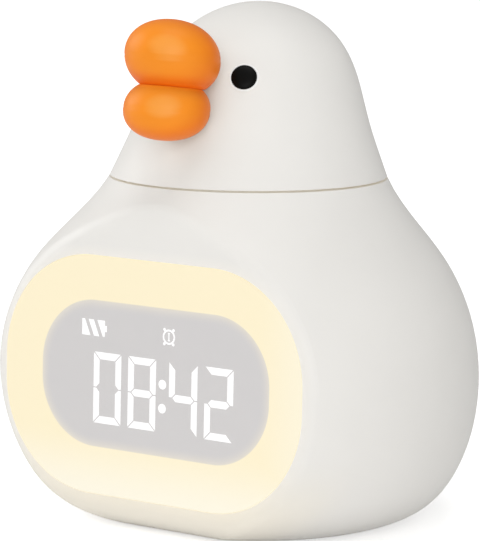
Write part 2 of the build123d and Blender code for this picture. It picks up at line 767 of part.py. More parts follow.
def upper_beak():
    return (lobe(UPPER_BEAK) & beak_side(True)) - HEAD + beak_peg(UPPER_BEAK)


def lower_beak():
    return (lobe(LOWER_BEAK) & beak_side(False)) - HEAD + beak_peg(LOWER_BEAK)


def head_shell():
    shell = HEAD - HEAD_CAVITY
    # skirt that slides in the body's neck, behind the gap
    skirt = disc(SKIRT_RADIUS, HEAD_RIM - SKIRT_DROP, HEAD_RIM + WALL, y=NECK_Y)
    skirt += disc(NECK_RADIUS, HEAD_RIM, HEAD_RIM + WALL, y=NECK_Y) & HEAD_CORE
    skirt -= disc(SKIRT_RADIUS - SKIRT_WALL, HEAD_RIM - SKIRT_DROP, HEAD_RIM + WALL, y=NECK_Y)
    shell = (shell & slab(HEAD_RIM, REACH)) + skirt
    # bosses for the carrier
    for place in head_screw_places():
        spot = place.origin
        shell += disc(HEAD_BOSS_RADIUS, CARRIER_TOP, CROWN_HEIGHT, spot.X, spot.Y) & HEAD_CORE
        shell -= pilot(place, SCREW_LENGTH + CARRIER_THICKNESS)
    for side in (-1, 1):
        shell -= eye(side)
    for spec in (UPPER_BEAK, LOWER_BEAK):
        shell -= beak_peg(spec)
    return shell


def head_carrier():
    """Plate screwed inside the head, with the stem and the boss that presses the switch."""
    plate = disc(NECK_RADIUS, CARRIER_HEIGHT, CARRIER_TOP, y=NECK_Y) & head_form(WALL + CARRIER_GAP)
    plate += disc(STEM_RADIUS, HUB_LOW + STEM_END, CARRIER_HEIGHT, y=NECK_Y)
    plate += disc(PRESS_RADIUS, HEAD_SWITCH_TOP + PLUNGER_PROUD, CARRIER_HEIGHT, SWITCH_X, NECK_Y)
    for place in head_screw_places():
        plate -= pilot(place, SCREW_LENGTH, SCREW_HOLE)
    return plate


# ---- rear panel --------------------------------------------------------------------
def back_surface(x, height):
    """How far back the body's skin lies at a place seen from behind."""
    ray = Axis((-x, BELLY_Y, height), (0, 1, 0))
    return OUTER.find_intersection_points(ray)[-1][0].Y


def button_places():
    """Places across the panel, the row centred on it."""
    count = len(BUTTON_NAMES)
    return [(i - (count - 1) / 2) * BUTTON_PITCH for i in range(count)]


def speaker_holes():
    """One hole in the middle and a ring of holes round it."""
    spots = [(0.0, 0.0)] + ring_points(SPEAKER_RING, SPEAKER_HOLE_PITCH)
    return [Pos(SPEAKER_X + x, SOCKET_HEIGHT + z) * Circle(SPEAKER_HOLE) for x, z in spots]


def rear_panel():
    plate = (OUTER - CAVITY) & back_prism(panel(-PANEL_GAP), COLLAR_Y, BACK_Y + WALL)
    sleeve = BUTTON_RADIUS + BUTTON_CLEARANCE
    ribs = back_prism(oval(SOCKET_X, SOCKET_HEIGHT, POCKET_WIDTH + 2 * POCKET_WALL,
                           POCKET_TALL + 2 * POCKET_WALL), SOCKET_Y - WALL, BACK_Y)
    speaker = Pos(SPEAKER_X, SOCKET_HEIGHT)
    ribs += back_prism(speaker * Circle(SPEAKER_RADIUS + SPEAKER_GAP + SPEAKER_WALL),
                       SPEAKER_Y - SPEAKER_THICKNESS, BACK_Y)
    for x in button_places():
        ribs += back_prism(Pos(x, BUTTON_HEIGHT) * Circle(sleeve + SLEEVE_WALL), SLEEVE_Y, BACK_Y)
    for x, z in POSTS:
        ribs += back_prism(Pos(x, z) * Circle(POST_RADIUS), REAR_BOARD_Y, BACK_Y)
    plate += ribs & CORE
    plate -= back_prism(speaker * Circle(SPEAKER_RADIUS + SPEAKER_GAP),
                        SPEAKER_Y - SPEAKER_THICKNESS, SPEAKER_Y)
    for hole in speaker_holes():
        plate -= back_prism(hole, SPEAKER_Y, BACK_Y + WALL)
    for x in button_places():
        plate -= back_prism(Pos(x, BUTTON_HEIGHT) * Circle(sleeve), SLEEVE_Y, BACK_Y + WALL)
    pocket = oval(SOCKET_X, SOCKET_HEIGHT, POCKET_WIDTH, POCKET_TALL)
    plate -= back_prism(pocket, SOCKET_Y, BACK_Y + WALL)
    plate -= back_prism(oval(SOCKET_X, SOCKET_HEIGHT, SOCKET_WIDTH + 2 * SOCKET_GAP,
                             SOCKET_TALL + 2 * SOCKET_GAP), SOCKET_Y - 2 * WALL, BACK_Y)
    for place in board_screw_places():
        plate -= pilot(place, SCREW_LENGTH + BOARD_THICKNESS)
    return plate


def rear_board():
    board = back_prism(panel(-2 * PANEL_GAP), REAR_BOARD_Y - BOARD_THICKNESS, REAR_BOARD_Y)
    for place in board_screw_places():
        board -= pilot(place, BOARD_THICKNESS, SCREW_HOLE)
    return board


def control_chips():
    """Clock and charging circuits on the inner side of the rear board."""
    inside = REAR_BOARD_Y - BOARD_THICKNESS
    return Compound([
        back_prism(Pos(x, z) * Rectangle(w, t), inside - CHIP_TALL, inside).solid()
        for x, z, w, t in REAR_CHIPS
    ])


def tact_switches():
    bore = PLUNGER_RADIUS + PLUNGER_FIT
    cases = []
    for x in button_places():
        spot = Pos(x, BUTTON_HEIGHT)
        case = back_prism(spot * Rectangle(SWITCH_SIZE, SWITCH_SIZE), REAR_BOARD_Y, SWITCH_Y)
        case -= back_prism(spot * Circle(bore), SWITCH_Y - SWITCH_BORE_DEPTH, SWITCH_Y)
        cases.append(case.solid())
    return Compound(cases)


def button_plunger(x):
    start = SWITCH_Y - SWITCH_BORE_DEPTH + BUTTON_TRAVEL + PLUNGER_FIT
    return back_prism(Pos(x, BUTTON_HEIGHT) * Circle(PLUNGER_RADIUS), start, BUTTON_Y)


def button_cap(x):
    """Round cap with a flange that keeps it behind the panel."""
    spot = Pos(x, BUTTON_HEIGHT)
    flange = back_prism(spot * Circle(FLANGE_RADIUS), BUTTON_Y, BUTTON_Y + BUTTON_FLANGE)
    end = back_surface(x, BUTTON_HEIGHT) + BUTTON_PROUD
    stem = back_prism(spot * Circle(BUTTON_RADIUS), BUTTON_Y, end)
    stem = fillet(stem.edges().sort_by(Axis.Y)[-1], BUTTON_EDGE)
    return flange + stem


def usb_socket():
    """Upright receptacle on the rear board, with its tongue."""
    case = oval(SOCKET_X, SOCKET_HEIGHT, SOCKET_WIDTH, SOCKET_TALL)
    inside = oval(SOCKET_X, SOCKET_HEIGHT,
                  SOCKET_WIDTH - 2 * SOCKET_SHEET, SOCKET_TALL - 2 * SOCKET_SHEET)
    socket = back_prism(case, REAR_BOARD_Y, SOCKET_Y)
    socket -= back_prism(inside, SOCKET_Y - SOCKET_DEPTH, SOCKET_Y)
    tongue = Pos(SOCKET_X, SOCKET_HEIGHT) * Rectangle(TONGUE_WIDTH, TONGUE_TALL)
    return socket + back_prism(tongue, SOCKET_Y - SOCKET_DEPTH, SOCKET_Y - TONGUE_END)


def alarm_speaker():
    place = Pos(SPEAKER_X, SOCKET_HEIGHT)
    return back_prism(place * Circle(SPEAKER_RADIUS), SPEAKER_Y - SPEAKER_THICKNESS, SPEAKER_Y)


# ---- base --------------------------------------------------------------------------
def base_cover():
    """Plate under the body, with a cradle for the cell."""
    cover = disc(COVER_RADIUS, COVER_LOW, COVER_TOP)
    length = CELL_LENGTH + 2 * CELL_CLEARANCE
    width = CELL_WIDTH + 2 * CELL_CLEARANCE
    top = Plane((0, 0, COVER_TOP))
    walls = Rectangle(length + 2 * CRADLE_WALL, width + 2 * CRADLE_WALL) - Rectangle(length, width)
    walls -= Rectangle(length / 2, 2 * REACH) + Rectangle(2 * REACH, width / 2)
    cover += extrude(top * walls, amount=CRADLE_TALL)
    for place in base_screw_places():
        cover -= pilot(place, COVER_THICKNESS, SCREW_HOLE)
        cover -= pilot(place, -SCREW_HEAD_TALL, SCREW_HEAD_RADIUS + SCREW_HEAD_GAP)
    return cover


def battery_cell():
    low = Plane((0, 0, COVER_TOP))
    cell = extrude(low * Rectangle(CELL_LENGTH, CELL_WIDTH), amount=CELL_THICKNESS)
    return fillet(cell.edges().filter_by(Axis.X), CELL_THICKNESS / 4)


def base_pad():
    return disc(COVER_RADIUS, 0.0, PAD_THICKNESS)


# ---- the whole clock ---------------------------------------------------------------
def parts():
    nodes = {
        "body_shell": body_shell(),
        "front_lens": front_lens(),
        "light_frame": light_frame(),
        "front_board": front_board(),
        "lamp_leds": lamp_leds(),
        "display_module": display_module(),
        "display_segments": display_segments(),
        "driver_chip": driver_chip(),
        "frame_screws": screws(frame_screw_places(), FRAME_SCREW_LENGTH),
        "neck_deck": neck_deck(),
        "deck_screws": screws(deck_screw_places()),
        "head_switch_board": head_switch_board(),
        "head_switch": head_switch(),
        "head_plunger": head_plunger(),
        "head_spring": head_spring(),
        "head_shell": head_shell(),
        "upper_beak": upper_beak(),
        "lower_beak": lower_beak(),
        "left_eye": eye(1),
        "right_eye": eye(-1),
        "head_carrier": head_carrier(),
        "head_screws": screws(head_screw_places()),
        "rear_panel": rear_panel(),
        "rear_board": rear_board(),
        "control_chips": control_chips(),
        "tact_switches": tact_switches(),
        "usb_socket": usb_socket(),
        "alarm_speaker": alarm_speaker(),
        "board_screws": screws(board_screw_places()),
        "base_cover": base_cover(),
        "battery_cell": battery_cell(),
        "base_screws": screws(base_screw_places()),
        "base_pad": base_pad(),
    }
    for name, x in zip(BUTTON_NAMES, button_places()):
        nodes[name + "_button"] = button_cap(x)
        nodes[name + "_plunger"] = button_plunger(x)
    return nodes


os.makedirs("parts", exist_ok=True)
for node, shape in parts().items():
    export_step(shape, f"parts/{node}.step")
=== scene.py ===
import json
import math

import bmesh
import bpy
from mathutils import Matrix, Vector


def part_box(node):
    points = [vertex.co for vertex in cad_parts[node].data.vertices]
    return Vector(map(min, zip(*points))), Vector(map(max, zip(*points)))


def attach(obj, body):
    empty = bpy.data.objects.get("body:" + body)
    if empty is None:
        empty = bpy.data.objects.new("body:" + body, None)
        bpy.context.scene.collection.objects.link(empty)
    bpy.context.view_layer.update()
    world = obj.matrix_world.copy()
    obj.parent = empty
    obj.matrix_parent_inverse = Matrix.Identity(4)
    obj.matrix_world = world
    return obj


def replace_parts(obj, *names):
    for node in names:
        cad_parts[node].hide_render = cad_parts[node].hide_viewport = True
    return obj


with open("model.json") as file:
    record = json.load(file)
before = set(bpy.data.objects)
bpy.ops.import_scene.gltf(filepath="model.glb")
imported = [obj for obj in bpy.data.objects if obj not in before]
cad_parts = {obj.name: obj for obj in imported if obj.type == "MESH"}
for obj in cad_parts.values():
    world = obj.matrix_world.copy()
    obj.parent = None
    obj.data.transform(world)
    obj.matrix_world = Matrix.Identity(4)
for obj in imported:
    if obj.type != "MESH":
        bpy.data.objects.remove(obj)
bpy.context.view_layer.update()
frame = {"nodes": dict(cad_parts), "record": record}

# A duck-shaped alarm clock with a night light. Metres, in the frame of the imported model:
# the origin is the middle of the base, +Z is up and the clock's face looks along -Y.

NODES = frame["nodes"]
MM = 0.001

# ---- the clock's face --------------------------------------------------------------
FACE_LEAN = math.radians(1.2)
LENS_THICKNESS = 2.0 * MM
FACE_NORMAL = Vector((0, -math.cos(FACE_LEAN), math.sin(FACE_LEAN)))
FACE_UP = Vector((0, math.sin(FACE_LEAN), math.cos(FACE_LEAN)))
LENS_LOW, LENS_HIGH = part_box("front_lens")
FACE_CENTRE = (LENS_LOW + LENS_HIGH) / 2 + FACE_NORMAL * LENS_THICKNESS / 2

# Half sizes and corners of the lens, and of the grey field with its place from the lens's centre.
LENS_HALF = (41.1 * MM, 27.1 * MM)
LENS_CORNER = 24.3 * MM
FIELD_AT = (1.0 * MM, 0.4 * MM)
FIELD_HALF = (31.55 * MM, 16.65 * MM)
FIELD_CORNER = 15.05 * MM
FIELD_FADE = 2.6 * MM           # ring light bleeds this far into the grey field
FIELD_EDGE = 0.12 * MM          # half the width of the step from the field to the ring
MARK_PROUD = 0.03 * MM          # the lit marks stand this far in front of the lens
MARK_DEPTH = 0.10 * MM
ROUND_STEPS = 40                # corners of a circle
KNOB_STEPS = 16                 # corners of the alarm sign's small knobs

# ---- digits, battery sign and alarm sign, from the lens's centre ---------------------
TIME = "0842"
DIGIT_WIDTH = 7.8 * MM
DIGIT_TALL = 16.2 * MM
DIGIT_PITCH = 9.76 * MM
DIGIT_STROKE = 1.65 * MM
DIGIT_JOINT = 0.26 * MM
DIGITS_LEFT = -15.8 * MM
DIGITS_FOOT = -10.8 * MM
COLON_AFTER = 2                 # the colon stands after this many digits
COLON_SPACE = 1.7 * MM
COLON_RADIUS = 1.08 * MM
COLON_RISE = 2.7 * MM
SEGMENTS = {"0": "abcdef", "8": "abcdefg", "4": "fgbc", "2": "abged"}

BATTERY_LEFT = -19.3 * MM
BATTERY_FOOT = 8.9 * MM
BATTERY_WIDTH = 6.5 * MM
BATTERY_TALL = 3.7 * MM
BATTERY_SLANT = 1.63 * MM       # each slanted cut runs this far sideways
BATTERY_BAR = 1.5 * MM          # width of the middle bar
BATTERY_GAP = 1.0 * MM
BATTERY_FIRST = 0.8 * MM        # top width of the first bar
BATTERY_NUB = (0.55 * MM, 1.4 * MM)

ALARM_AT = (5.15 * MM, 10.8 * MM)
ALARM_RADIUS = 1.7 * MM
ALARM_RING = 0.42 * MM          # width of the ring
ALARM_KNOB = 0.36 * MM          # radius of each knob
ALARM_KNOB_AT = (1.24 * MM, 1.6 * MM)
ALARM_HAND = (0.32 * MM, 1.65 * MM)
ALARM_FOOT = (0.6 * MM, 0.22 * MM)

# ---- beak --------------------------------------------------------------------------
BEAK_SPLIT = 101.08 * MM        # height of the crease at BEAK_SPLIT_Y
BEAK_SPLIT_Y = -33.0 * MM
BEAK_TILT = 0.134               # the crease rises this much towards the front
# Middle, half sizes and fullness of each lobe; tilt lifts its front, lean moves its top forward.
UPPER_LOBE = dict(y=-32.8 * MM, z=107.52 * MM, across=10.8 * MM, along=10.4 * MM, tall=8.62 * MM,
                  power=2.09, tilt=0.10, lean=0.05)
LOWER_LOBE = dict(y=-34.84 * MM, z=96.2 * MM, across=9.83 * MM, along=9.27 * MM, tall=6.8 * MM,
                  power=2.2, tilt=0.10, lean=-0.2)
LOBE_ROWS = 64
LOBE_COLUMNS = 96
PARTING_DEPTH = 0.05 * MM
PARTING_WIDTH = 0.22 * MM
# Each lobe's root starts at the end of the CAD lobe's peg, inside the head's wall, and flares into
# the lobe. Its outline has the radius at each distance from that end, in millimetres.
UPPER_ROOT = Vector((0, -18.2 * MM, 105.7 * MM))
LOWER_ROOT = Vector((0, -22.8 * MM, 96.31 * MM))
ROOT_OUTLINE = ((2.55, 0.0), (2.55, 1.0), (2.62, 1.6), (2.62, 4.0), (3.6, 5.5), (4.2, 9.0))

# ---- eyes --------------------------------------------------------------------------
EYE_SPOT = Vector((11.1 * MM, -21.14 * MM, 103.12 * MM))    # left eye's middle, on the head
EYE_AZIMUTH = math.radians(29.0)
EYE_ELEVATION = math.radians(27.15)
EYE_RADIUS = 2.9 * MM
EYE_PROUD = 0.75 * MM
EYE_FULLNESS = 2.5
EYE_SINK = 0.5 * MM             # the foot of dome and lip lies this deep in the head
EYE_STEPS = 14                  # from the dome's top to its foot
EYE_TOP = math.radians(88)      # the dome ends this close to its pole, in a tiny flat
HEAD_CURVE = 23 * MM            # the head's own radius round the eyes
LIP_WIDTH = 0.45 * MM           # fine moulded lip round each eye
LIP_PROUD = 0.16 * MM
LIP_STEPS = 8
TURNED_COLUMNS = 64             # round each eye and each root of the beak

# ---- seam of the neck --------------------------------------------------------------
NECK_Y = -3.5 * MM
SEAM_RADIUS = 31.7 * MM         # just inside the rims of head and body
SEAM_LOW = 77.6 * MM
SEAM_HIGH = 79.04 * MM

# ---- camera ------------------------------------------------------------------------
CAMERA_AZIMUTH = math.radians(35.69)
CAMERA_ELEVATION = math.radians(8.441)
CAMERA_ROLL = math.radians(0.524)
CAMERA_DISTANCE = 0.73744
CAMERA_FOCAL_PX = 3200.0
IMAGE_HEIGHT_PX = 541
SENSOR = 36.0                   # millimetres, along the longer side of the image
CAMERA_ASIDE = -1.53 * MM
CAMERA_AIM = Vector((0, -3.9 * MM, 56.686 * MM))
CAMERA_CLIP = (0.01, 20.0)


# ---- small helpers -----------------------------------------------------------------
def on_face(x, z, proud=0.0):
    """Point of the face, from the lens's centre."""
    return FACE_CENTRE + Vector((x, 0, 0)) + FACE_UP * z + FACE_NORMAL * proud


def direction(azimuth, elevation):
    """Way that points this far round from the clock's front towards +X, and this far up."""
    flat = math.cos(elevation)
    return Vector((math.sin(azimuth) * flat, -math.cos(azimuth) * flat, math.sin(elevation)))


def turns(count):
    """Angles of a full circle in even steps."""
    return [2 * math.pi * i / count for i in range(count)]


def new_piece(name, mesh, body, material):
    piece = bpy.data.objects.new(name, mesh)
    bpy.context.scene.collection.objects.link(piece)
    piece.data.materials.append(material)
    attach(piece, body)
    return piece


def join_rings(mesh, first, second):
    """Faces between two closed rings of vertices."""
    for i in range(len(first)):
        k = (i + 1) % len(first)
        mesh.faces.new((first[i], first[k], second[k], second[i]))


def finished(mesh, name):
    """The edited mesh as the data of an object."""
    data = bpy.data.meshes.new(name)
    mesh.to_mesh(data)
    mesh.free()
    return data


class Graph:
    """Short way to write the nodes of a material."""

    def __init__(self, name):
        self.material = bpy.data.materials.new(name)
        self.material.use_nodes = True
        self.tree = self.material.node_tree
        self.shader = self.tree.nodes["Principled BSDF"]

    def node(self, kind, **settings):
        made = self.tree.nodes.new(kind)
        for key, value in settings.items():
            setattr(made, key, value)
        return made

    def feed(self, socket, value):
        """Set a socket to a number or a colour, or link it to another node's output."""
        if isinstance(value, bpy.types.NodeSocket):
            self.tree.links.new(value, socket)
        elif isinstance(value, tuple) and socket.type == "RGBA":
            socket.default_value = (*value, 1.0)
        else:
            socket.default_value = value

    def look(self, name, value):
        """Feed an input of the material's shader."""
        self.feed(self.shader.inputs[name], value)

    def base(self):
        """What feeds the shader's base colour so far."""
        return self.shader.inputs["Base Color"].links[0].from_socket

    def math(self, operation, *values):
        made = self.node("ShaderNodeMath", operation=operation)
        for socket, value in zip(made.inputs, values):
            self.feed(socket, value)
        return made.outputs[0]

    def place(self):
        """The point of the surface, in the frame of the model."""
        return self.node("ShaderNodeTexCoord").outputs["Object"]

    def distance(self):
        """Distance of the point from the origin of the model."""
        made = self.node("ShaderNodeVectorMath", operation="LENGTH")
        self.feed(made.inputs[0], self.place())
        return made.outputs["Value"]

    def turned_to(self, way):
        """1 where the surface faces this way, 0 where it's edge-on, -1 where it faces away."""
        made = self.node("ShaderNodeVectorMath", operation="DOT_PRODUCT")
        self.feed(made.inputs[0], self.node("ShaderNodeTexCoord").outputs["Normal"])
        self.feed(made.inputs[1], way)
        return made.outputs["Value"]

    def ray(self, kind):
        """1 for rays of this kind, else 0."""
        return self.node("ShaderNodeLightPath").outputs[kind]

    def split(self, vector):
        made = self.node("ShaderNodeSeparateXYZ")
        self.feed(made.inputs[0], vector)
        return made.outputs

    def noise(self, size, detail=2.0):
        """Noise whose blotches are about size metres wide, from 0 to 1."""
        made = self.node("ShaderNodeTexNoise")
        self.feed(made.inputs["Vector"], self.place())
        made.inputs["Scale"].default_value = 1 / size
        made.inputs["Detail"].default_value = detail
        return made.outputs["Fac"]

    def span(self, value, low, high, to_low=0.0, to_high=1.0, smooth=True):
        """value from low..high mapped to to_low..to_high, and held beyond."""
        made = self.node("ShaderNodeMapRange")
        made.interpolation_type = "SMOOTHSTEP" if smooth else "LINEAR"
        for key, item in (("Value", value), ("From Min", low), ("From Max", high),
                          ("To Min", to_low), ("To Max", to_high)):
            self.feed(made.inputs[key], item)
        return made.outputs[0]

    def mix(self, share, first, second):
        """Colour from the first to the second, by a share from 0 to 1."""
        made = self.node("ShaderNodeMix", data_type="RGBA")
        self.feed(made.inputs["Factor"], share)
        for socket, colour in zip(made.inputs[6:8], (first, second)):
            self.feed(socket, colour)
        return made.outputs[2]

    def bump(self, height, distance):
        made = self.node("ShaderNodeBump")
        made.inputs["Distance"].default_value = distance
        self.feed(made.inputs["Height"], height)
        self.look("Normal", made.outputs[0])

    def rounded(self, centre, half, corner):
        """Distance outside a rounded rectangle drawn on the face; negative inside it."""
        x, _, z = self.split(self.place())
        parts = []
        for value, middle, size in ((x, centre[0], half[0]), (z, FACE_CENTRE.z + centre[1], half[1])):
            away = self.math("ABSOLUTE", self.math("SUBTRACT", value, middle))
            parts.append(self.math("SUBTRACT", away, size - corner))
        outside = [self.math("MAXIMUM", part, 0.0) for part in parts]
        squares = [self.math("MULTIPLY", part, part) for part in outside]
        reach = self.math("SQRT", self.math("ADD", *squares))
        inside = self.math("MINIMUM", self.math("MAXIMUM", *parts), 0.0)
        return self.math("SUBTRACT", self.math("ADD", reach, inside), corner)


# ---- plain materials ---------------------------------------------------------------
NOISE_LOW, NOISE_HIGH = 0.3, 0.7        # most of a noise's values lie between these
CLOUD_SIZE = 14 * MM                    # patches of slightly paler and darker colour
CLOUD_DETAIL = 3.0
GLOSS_SIZE = 5 * MM                     # patches of slightly different gloss
GLOSS_DETAIL = 4.0
GLOSS_STEP = 0.04

# Look of each plain slot of the record, and of the lips round the eyes.
PLASTICS = {
    "panel_white": dict(colour=(0.85, 0.835, 0.805), roughness=0.52),
    "button_white": dict(colour=(0.76, 0.75, 0.72), roughness=0.45),
    "reflector_white": dict(colour=(0.88, 0.88, 0.87), roughness=0.6),
    "inner_white": dict(colour=(0.80, 0.80, 0.78), roughness=0.6),
    "base_white": dict(colour=(0.80, 0.79, 0.76), roughness=0.6),
    # The eye lips are real moulded beads, made paler than the shells as a painted highlight round each eye.
    "eye_lip": dict(colour=(0.97, 0.965, 0.95), roughness=0.4),
    "eye_black": dict(colour=(0.003, 0.003, 0.0026), roughness=0.4, relief=0.001 * MM, specular=0.08),
    "display_black": dict(colour=(0.02, 0.02, 0.022), roughness=0.4),
    "chip_black": dict(colour=(0.018, 0.018, 0.018), roughness=0.5),
    "switch_black": dict(colour=(0.025, 0.025, 0.025), roughness=0.5),
    "speaker_black": dict(colour=(0.03, 0.03, 0.03), roughness=0.7, grain=0.6 * MM),
    "plunger_grey": dict(colour=(0.2, 0.2, 0.2), roughness=0.5),
    "pad_rubber": dict(colour=(0.42, 0.41, 0.39), roughness=0.85, relief=0.02 * MM),
    "warm_led": dict(colour=(0.9, 0.75, 0.4), roughness=0.3),
}
METALS = {
    "screw_steel": dict(colour=(0.62, 0.62, 0.62), roughness=0.35),
    "spring_steel": dict(colour=(0.60, 0.60, 0.60), roughness=0.3),
    "socket_steel": dict(colour=(0.66, 0.66, 0.66), roughness=0.3),
    "cell_silver": dict(colour=(0.55, 0.56, 0.57), roughness=0.45),
}

BOARD_GREEN = (0.015, 0.16, 0.07)
TRACK_GREEN = (0.03, 0.26, 0.12)
TRACK_SIZE = 1.6 * MM
TRACK_EDGE = (0.49, 0.53)               # values of the noise where a track's edge rises
TRACK_RELIEF = 0.02 * MM


def plastic(name, colour, roughness, grain=0.35 * MM, relief=0.006 * MM, tint=0.02, specular=0.4):
    """Moulded plastic: a fine texture, and colour and gloss that vary a little."""
    graph = Graph(name)
    cloud = graph.noise(CLOUD_SIZE, CLOUD_DETAIL)
    dark = tuple(c * (1 - tint) for c in colour)
    light = tuple(min(1.0, c * (1 + tint)) for c in colour)
    graph.look("Base Color", graph.mix(cloud, dark, light))
    patches = graph.noise(GLOSS_SIZE, GLOSS_DETAIL)
    graph.look("Roughness", graph.span(patches, NOISE_LOW, NOISE_HIGH, roughness - GLOSS_STEP,
                                       roughness + GLOSS_STEP, smooth=False))
    graph.look("Specular IOR Level", specular)
    graph.bump(graph.noise(grain), relief)
    return graph


def metal(name, colour, roughness):
    """Plated or drawn metal with a fine grain."""
    graph = plastic(name, colour, roughness, grain=0.12 * MM, relief=0.003 * MM, tint=0.06)
    graph.look("Metallic", 1.0)
    return graph


def board_material():
    """Green board with copper tracks under the solder mask."""
    graph = Graph("circuit_board")
    tracks = graph.span(graph.noise(TRACK_SIZE, 0.0), *TRACK_EDGE)
    graph.look("Base Color", graph.mix(tracks, BOARD_GREEN, TRACK_GREEN))
    graph.look("Roughness", 0.35)
    graph.bump(tracks, TRACK_RELIEF)
    return graph.material


# ---- white shells ------------------------------------------------------------------
BODY_WHITE = (0.86, 0.842, 0.806)
BELOW_PAINTED_LIGHT_SHADE = (0.84, 0.795, 0.70)       # painted under the window: warm light of the ring, and shade under the face
SHELL_ROUGHNESS = 0.5
RING_GLOW = (1.0, 0.82, 0.48)
FRONT_ENDS = (-34 * MM, -24 * MM)       # depth over which the light on the shell's front dies out
FOOT_ENDS = (7 * MM, 24 * MM)           # height over which the look of the window's foot ends
BELOW_REACH = 14 * MM                   # the painted light and shade reach this far from the lens
BELOW_GLOW = 0.03
NEAR_REACH = 3 * MM                     # a faint glow reaches this far from the lens
NEAR_GLOW = 0.04
WALL_ENDS = (0.14 * MM, 0.16 * MM)      # the opening's wall is nearer to the lens than this
WALL_GLOW = 0.12
PAINTED_SEAM_GLOW = 0.085                      # glow painted on the walls of the neck's seam, lifting the shade in the gap
PAINTED_SEAM_TINT = (1.0, 0.87, 0.64)


def painted_seam_glow(graph):
    """Strength of the glow painted on the walls inside the neck's seam, lifting its shade; 0 elsewhere."""
    x, y, z = graph.split(graph.place())
    y = graph.math("SUBTRACT", y, NECK_Y)
    squares = graph.math("ADD", graph.math("MULTIPLY", x, x), graph.math("MULTIPLY", y, y))
    inside = graph.math("LESS_THAN", squares, SEAM_RADIUS ** 2)
    above = graph.math("GREATER_THAN", z, SEAM_LOW)
    under = graph.math("LESS_THAN", z, SEAM_HIGH)
    seam = graph.math("MULTIPLY", inside, graph.math("MULTIPLY", above, under))
    return graph.math("MULTIPLY", seam, PAINTED_SEAM_GLOW)


def body_material():
    """White moulded body, with the ring's light painted on it round the window: a glow near the lens, and
    warm light and shade painted into its colour below the window; and a glow painted in the neck's seam.
    """
    graph = plastic("body_white", BODY_WHITE, SHELL_ROUGHNESS)
    away = graph.rounded((0, 0), LENS_HALF, LENS_CORNER)
    _, y, z = graph.split(graph.place())
    front = graph.span(y, *FRONT_ENDS, 1.0, 0.0)
    foot = graph.math("MULTIPLY", graph.span(z, *FOOT_ENDS, 1.0, 0.0), front)
    # painted light and shade below the window, in the base colour
    painted_below = graph.math("MULTIPLY", graph.span(away, 0.0, BELOW_REACH, 1.0, 0.0), foot)
    graph.look("Base Color", graph.mix(painted_below, graph.base(), BELOW_PAINTED_LIGHT_SHADE))
    # glow of the ring's light painted on the shell near the lens and on the opening's wall
    near = graph.span(away, 0.0, NEAR_REACH, NEAR_GLOW, 0.0)
    wall = graph.span(away, *WALL_ENDS, WALL_GLOW, 0.0)
    glow = graph.math("MULTIPLY", graph.math("MAXIMUM", near, wall), front)
    glow = graph.math("ADD", glow, graph.math("MULTIPLY", painted_below, BELOW_GLOW))
    # glow painted in the neck's seam
    seam = painted_seam_glow(graph)
    in_seam = graph.math("GREATER_THAN", seam, 0.0)
    graph.look("Emission Color", graph.mix(in_seam, RING_GLOW, PAINTED_SEAM_TINT))
    graph.look("Emission Strength", graph.math("ADD", glow, seam))
    return graph.material


def head_material():
    """White moulded head, with a glow painted in the neck's seam."""
    graph = plastic("head_white", BODY_WHITE, SHELL_ROUGHNESS)
    graph.look("Emission Color", PAINTED_SEAM_TINT)
    graph.look("Emission Strength", painted_seam_glow(graph))
    return graph.material


# ---- lit window --------------------------------------------------------------------
FIELD_GREY = ((0.44, 0.435, 0.435), (0.46, 0.45, 0.445))        # from patch to patch
FIELD_LIGHT = ((0.21, 0.20, 0.20), (0.34, 0.30, 0.225))         # in the middle and at the edge
RING_CREAM = (0.36, 0.345, 0.31)
RING_LIGHT = ((0.635, 0.55, 0.335), (0.635, 0.60, 0.485))       # at the top and at the foot
RIGHT_STARTS = (28 * MM, 42 * MM)       # the ring grows paler to the right over this stretch
RIGHT_SHARE = 0.5                       # as pale there as this share of the foot
LENS_CLOUD = 10 * MM
LENS_GLOSS_SIZE = 4 * MM
LENS_ROUGHNESS = (0.42, 0.48)
LENS_GRAIN = 0.4 * MM
LENS_RELIEF = 0.004 * MM
MARK_WHITE = ((0.80, 0.80, 0.80), (0.84, 0.84, 0.84))
MARK_CLOUD = 1.2 * MM
MARK_CLOUD_ENDS = (0.2, 0.8)
MARK_LIGHT = (0.24, 0.28)


def lens_material():
    """Milky window: a lit warm ring round a soft grey field."""
    graph = Graph("milky_lens")
    field = graph.rounded(FIELD_AT, FIELD_HALF, FIELD_CORNER)
    lit = graph.span(field, -FIELD_EDGE, FIELD_EDGE)
    fade = graph.span(field, -FIELD_FADE, 0.0, smooth=False)
    fade = graph.math("MULTIPLY", fade, fade)
    x, _, z = graph.split(graph.place())
    foot = graph.span(z, *FOOT_ENDS, 1.0, 0.0)
    right = graph.math("MULTIPLY", graph.span(x, *RIGHT_STARTS), RIGHT_SHARE)
    pale = graph.math("MAXIMUM", foot, right)
    grey = graph.mix(graph.noise(LENS_CLOUD), *FIELD_GREY)
    graph.look("Base Color", graph.mix(lit, grey, RING_CREAM))
    field_light = graph.mix(fade, *FIELD_LIGHT)
    ring_light = graph.mix(pale, *RING_LIGHT)
    graph.look("Emission Color", graph.mix(lit, field_light, ring_light))
    graph.look("Emission Strength", 1.0)
    gloss = graph.noise(LENS_GLOSS_SIZE, 3.0)
    graph.look("Roughness", graph.span(gloss, NOISE_LOW, NOISE_HIGH, *LENS_ROUGHNESS, smooth=False))
    graph.look("Specular IOR Level", 0.25)
    graph.bump(graph.noise(LENS_GRAIN), LENS_RELIEF)
    return graph.material


def mark_material():
    """Lit marks of the display."""
    graph = Graph("display_light")
    cloud = graph.noise(MARK_CLOUD)
    graph.look("Base Color", graph.mix(cloud, *MARK_WHITE))
    graph.look("Emission Color", (1, 1, 1))
    graph.look("Emission Strength", graph.span(cloud, *MARK_CLOUD_ENDS, *MARK_LIGHT, smooth=False))
    graph.look("Roughness", 0.5)
    return graph.material
